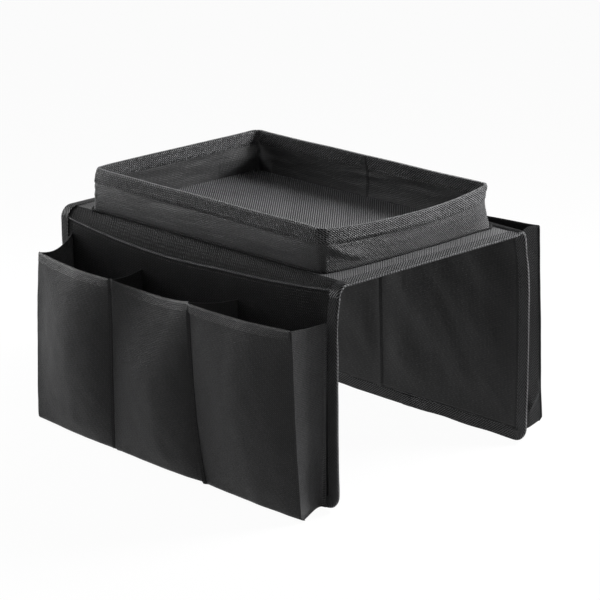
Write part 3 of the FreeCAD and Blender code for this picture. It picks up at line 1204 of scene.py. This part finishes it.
# Corner ridges: where the strip meets its end gussets the two edges are sewn together and stand out.
# Each is a narrow pinched ridge up the corner, which catches the light.
ridge_radius = 0.0010
ridge_lumps = 0.06
ridge_back = 0.0006
ridge_out = 0.0003
for row in (front_row, rear_row):
    name = row["name"]
    for (end_name, outwards), corner in zip(ends, (0, -1)):
        ridge_length = row["mouth_heights"][corner] - row["floor"]

        def pinch(x, y, row=row, across=row["base_seams"][corner], outwards=outwards, length=ridge_length):
            angle = y / ridge_radius
            fat = ridge_radius * (1 + ridge_lumps * ripple(x, outwards, 0.01, 30))
            middle = strip_place(row, across, x / length + 0.5, -ridge_back)
            turn = Vector((math.cos(angle), row["side"] * math.sin(angle), 0))
            return middle + Vector((outwards * ridge_out, 0, 0)) + turn * fat

        ridge_flat = (ridge_length, 2 * math.pi * ridge_radius)
        ridge = make_cloth(name + "_corner_ridge_" + end_name, ridge_flat, (66, 8), pinch, 0, pocket_twill)
        close_ends()
        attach(ridge, name + "_pockets")


# Gussets and dividers: upright cloth walls from the flap to the strip, which let the pockets open.
# The end gussets fold in beside the flap, and top edges hang in a curve.
# The front end gussets are the pockets' twill made paler: painted light on them. The rear gussets take the
# darkest twill, the flaps': painted shade on them.
gusset_twill = woven("gusset_twill", (0.037, 0.037, 0.0377), relief=0.0006, twill=0.55, depth=1.0,
                     gloss=0.1)
gusset_cloths = {"front": gusset_twill, "rear": flap_twill}
edge_steps = 40
wall_names = {
    "front": ("gusset_left", "divider_left", "divider_right", "gusset_right"),
    "rear": ("gusset_left", "divider", "gusset_right"),
}
strip_back = 0.0009
root_set = 0.0004
hollow_rise = 2.2
hollow_skew = 0.4
gusset_ripple = 0.0012
divider_ripple = 0.0016
# A slack fold slants across the foot of the rear gussets: its rise at the flap and at the strip.
fold_rises = (0.10, 0.19)
fold_spread = 0.034


def wall_between(row, number, out, rise):
    """A point of the wall at one seam: out goes from flap to strip, and rise from the floor to the top."""
    side = row["side"]
    last = len(row["base_seams"]) - 1
    at_strip = strip_place(row, row["base_seams"][number], rise, -strip_back)
    root_x = between(row["base_roots"][number], row["mouth_roots"][number], rise)
    root_z = between(row["floor"], row["root_heights"][number], rise)
    root_y = pocket_root + warp(side, root_x, root_z) - root_set
    x = between(root_x, at_strip.x, out)
    z = between(root_z, at_strip.z, out)
    z -= row["top_droops"][number] * math.sin(math.pi * out) * max(rise, 0) ** 3
    if number in (0, last):
        inwards = 1 if number == 0 else -1
        hollow = row["hollows"][number] * between(*row["hollow_shares"], ease(rise * hollow_rise))
        x += inwards * hollow * math.sin(math.pi * max(out, 0) ** hollow_skew)
        fold = row["gusset_fold"] * ease(4 * out) * ease(4 - 4 * out)
        x -= inwards * fold * bump(rise - between(*fold_rises, out), fold_spread)
        x += inwards * gusset_ripple * out * (1 - out) * ripple(out * 0.05, z, 0.04, 32 + number)
    else:
        x += divider_ripple * math.sin(math.pi * out) * ripple(out * 0.04, z, 0.05, 34 + number)
    return Vector((x, side * between(root_y, abs(at_strip.y), out), z))


def crumple(piece, edge):
    """Gives the piece a mesh of its own; the edge is not used."""
    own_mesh(piece)


for row in (front_row, rear_row):
    name = row["name"]
    row["depth"] = row["face"] - pocket_root
    upright_flat = (row["depth"], row["height"])
    for number, wall_name in enumerate(wall_names[name]):

        def stand_between(x, y, row=row, number=number):
            return wall_between(row, number, x / row["depth"] + 0.5, y / row["height"] + 0.5)

        wall_cloth = gusset_cloths[name] if "gusset" in wall_name else pocket_twill
        piece_name = name + "_" + wall_name + "_cloth"
        pocket_wall = make_cloth(piece_name, upright_flat, (26, 66), stand_between, cloth, wall_cloth)
        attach(pocket_wall, name + "_flap")
        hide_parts(name + "_" + wall_name)
        rises = [i / edge_steps for i in range(edge_steps + 1)]
        crumple(pocket_wall, [wall_between(row, number, 1, rise) for rise in rises])


# Pocket floors: small cloth panels that close the bottom of each bay between the flap and the strip.
# They lie slightly uneven.
bay_names = {"front": ("left", "middle", "right"), "rear": ("left", "right")}
bay_lift = 0.0006
bay_ripple = 0.0008
for row in (front_row, rear_row):
    name = row["name"]
    for number, bay in enumerate(bay_names[name]):
        bay_ends = row["base_seams"][number:number + 2]
        bay_flat = (bay_ends[1] - bay_ends[0], row["depth"])

        def lay_floor(x, y, row=row, number=number, bay_ends=bay_ends, flat=bay_flat):
            share = x / flat[0] + 0.5
            out = y / flat[1] + 0.5
            place = wall_between(row, number, out, 0).lerp(wall_between(row, number + 1, out, 0), share)
            at_strip = strip_place(row, between(*bay_ends, share), 0, -strip_back)
            root_y = pocket_root + warp(row["side"], place.x, row["floor"])
            place.y = row["side"] * between(root_y, abs(at_strip.y), out)
            place.z = row["floor"] + bay_lift + bay_ripple * ripple(place.x, place.y, 0.03, 36)
            return place

        bay_name = name + "_pocket_base_" + bay
        pocket_floor = make_cloth(bay_name, bay_flat, (48, 20), lay_floor, cloth, pocket_twill)
        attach(pocket_floor, name + "_flap")
        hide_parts(name + "_pocket_floor_" + bay)
        bay_steps = [bay_flat[0] * (i / edge_steps - 0.5) for i in range(edge_steps + 1)]
        crumple(pocket_floor, [lay_floor(x, row["depth"] / 2) for x in bay_steps])


# Stitching: black polyester thread in plain lockstitch, about three stitches to the centimetre.
# One stitch is modelled, a short twist that dives into the cloth at its ends, and copied along each seam.
stitch_length = 0.0026
stitch_width = 0.0006
stitch_height = 0.00045
stitch_pitch = 0.0034
stitch_dive = 0.6

bpy.ops.object.select_all(action="DESELECT")
bpy.ops.mesh.primitive_uv_sphere_add(segments=6, ring_count=4, radius=0.5)
one_stitch = bpy.context.object
one_stitch.name = "one_stitch"
bpy.ops.object.mode_set(mode="EDIT")
bpy.ops.mesh.select_all(action="SELECT")
quarter_turn = math.radians(90)
bpy.ops.transform.rotate(value=quarter_turn, orient_axis="Y", center_override=(0, 0, 0))
bpy.ops.transform.resize(value=(stitch_length, stitch_width, stitch_height))
bpy.ops.object.mode_set(mode="OBJECT")
for point in one_stitch.data.vertices:
    point.co.z -= stitch_dive * stitch_height * (2 * point.co.x / stitch_length) ** 2
bpy.ops.object.shade_smooth()

black_thread, thread_tree, thread_shader = new_finish("black_thread")
thread_dark = (0.006, 0.006, 0.0062)
thread_pale = (0.024, 0.024, 0.0245)
thread_place = add_node(thread_tree, "TexCoord").outputs["Object"]
thread_wave = {"Vector": thread_place, "Scale": 520, "Distortion": 1.0}
thread_twist = add_node(thread_tree, "TexWave", thread_wave, bands_direction="DIAGONAL").outputs["Fac"]
thread_gloss = {"Value": thread_twist, "To Min": 0.5, "To Max": 0.32}
feed(thread_tree, thread_shader, {
    "Base Color": tint_between(thread_tree, thread_twist, thread_dark, thread_pale),
    "Roughness": add_node(thread_tree, "MapRange", thread_gloss).outputs["Result"],
    "Specular IOR Level": 0.1,
})
one_stitch.data.materials.append(black_thread)


def sew(name, body, path, length, fat=1.0):
    """One row of stitching. The path gives the point of the cloth at a distance, and one proud of it."""
    feel = 0.0008
    lift = 0.001
    count = round(length / stitch_pitch)
    bpy.ops.object.select_all(action="DESELECT")
    for number in range(count):
        distance = (number + 0.5) * length / count
        here = path(distance, 0)
        along = (path(distance + feel, 0) - path(distance - feel, 0)).normalized()
        proud = path(distance, lift) - here
        proud = (proud - along * proud.dot(along)).normalized()
        stitch = one_stitch.copy()
        stitch.data = one_stitch.data.copy()
        lie = Matrix((along, proud.cross(along), proud)).transposed().to_4x4()
        stitch.data.transform(Matrix.Translation(here) @ lie @ Matrix.Diagonal((1, fat, fat, 1)))
        bpy.context.collection.objects.link(stitch)
        stitch.select_set(True)
    bpy.context.view_layer.objects.active = stitch
    bpy.ops.object.join()
    row = bpy.context.object
    row.name = name
    row.data.name = name
    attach(row, body)


def tape_rows(half_stack, in_from_edge):
    """The places around a folded tape, outside and inside, of a row that far in from its edge."""
    around = in_from_edge - half_stack + half_stack * math.pi / 2
    return ("outer", around), ("inner", -around)


for row_name, in_from_rim, fat in (("upper", 0.0034, 1.0), ("lower", 0.0112, 1.7)):
    for face, around in tape_rows(hem_half, in_from_rim):

        def along_rim(distance, proud, around=around):
            return hem_place(distance, around, hem_cloth / 2 + proud)

        sew("rim_stitches_" + row_name + "_" + face, "tray_top", along_rim, tray_round, fat)

binding_row = binding_reach - 0.0022
for end_name, end in ends:
    for face, around in tape_rows(top_half_stack, binding_row):

        def along_end(distance, proud, end=end, around=around):
            return end_tape_place(end, distance - top_half_y, around, tape / 2 + proud)

        sew("end_stitches_" + end_name + "_" + face, "tray_top", along_end, 2 * top_half_y)

fold_row_half = seam_half - 0.008
fold_row_drop = 0.0040
lining_row_drop = 0.024
lining_row_foot = flap_edge_bottom + binding_reach + 0.003
lining_row_fat = 1.8
for side_name, side, line in fold_sides:
    flap_body = side_name + "_flap"
    for face, around in tape_rows(flap_half_stack, binding_row):

        def along_edge(distance, proud, side=side, around=around):
            return edge_tape_place(side, distance, around, tape / 2 + proud)

        sew(side_name + "_binding_stitches_" + face, flap_body, along_edge, edge_round)

    def along_fold(distance, proud, side=side, line=line):
        x = distance - fold_row_half
        return cover_place(side, line, x, follow(line, x) - fold_row_drop, cloth / 2 + proud)

    sew(side_name + "_fold_stitches", flap_body, along_fold, 2 * fold_row_half)

    roots = divider_roots[side_name]
    for number, root in enumerate(roots):
        row_length = follow(line, root) - lining_row_drop - lining_row_foot

        def up_lining(distance, proud, side=side, root=root, roots=roots):
            return lining_place(side, roots, root, lining_row_foot + distance, lining / 2 + proud)

        lining_row = side_name + "_lining_stitches_" + str(number + 1)
        sew(lining_row, flap_body, up_lining, row_length, lining_row_fat)

hem_around = tape_rows(mouth_hem_half, mouth_hem - 0.0016)[0][1]
seam_row_foot = 0.02
seam_row_part = 0.93
bar_length = 0.036
bar_swing = 0.0016
bar_top = 0.004
bar_fall = 0.22
for row in (front_row, rear_row):
    name = row["name"]
    pocket_body = name + "_pockets"

    def along_mouth(distance, proud, row=row):
        across = row["base_seams"][0] + distance
        return mouth_hem_place(row, across, hem_around, mouth_hem_cloth / 2 + proud)

    sew(name + "_hem_stitches", pocket_body, along_mouth, row["width"])

    for number in range(1, len(row["base_seams"]) - 1):
        across = row["base_seams"][number]

        def up_seam(distance, proud, row=row, across=across):
            return strip_place(row, across, seam_row_foot + distance / row["height"], cloth / 2 + proud)

        sew(name + "_seam_stitches_" + str(number), pocket_body, up_seam, seam_row_part * row["height"])

        def bar_across(distance, proud, row=row, across=across):
            swing = bar_swing * (abs(distance / stitch_pitch % 4 - 2) - 1)
            rise = 1 - (bar_top + bar_fall * distance) / row["height"]
            return strip_place(row, across + swing, rise, mouth_hem_half + mouth_hem_cloth / 2 + proud)

        sew(name + "_seam_bar_" + str(number), pocket_body, bar_across, bar_length)

bpy.data.objects.remove(one_stitch)
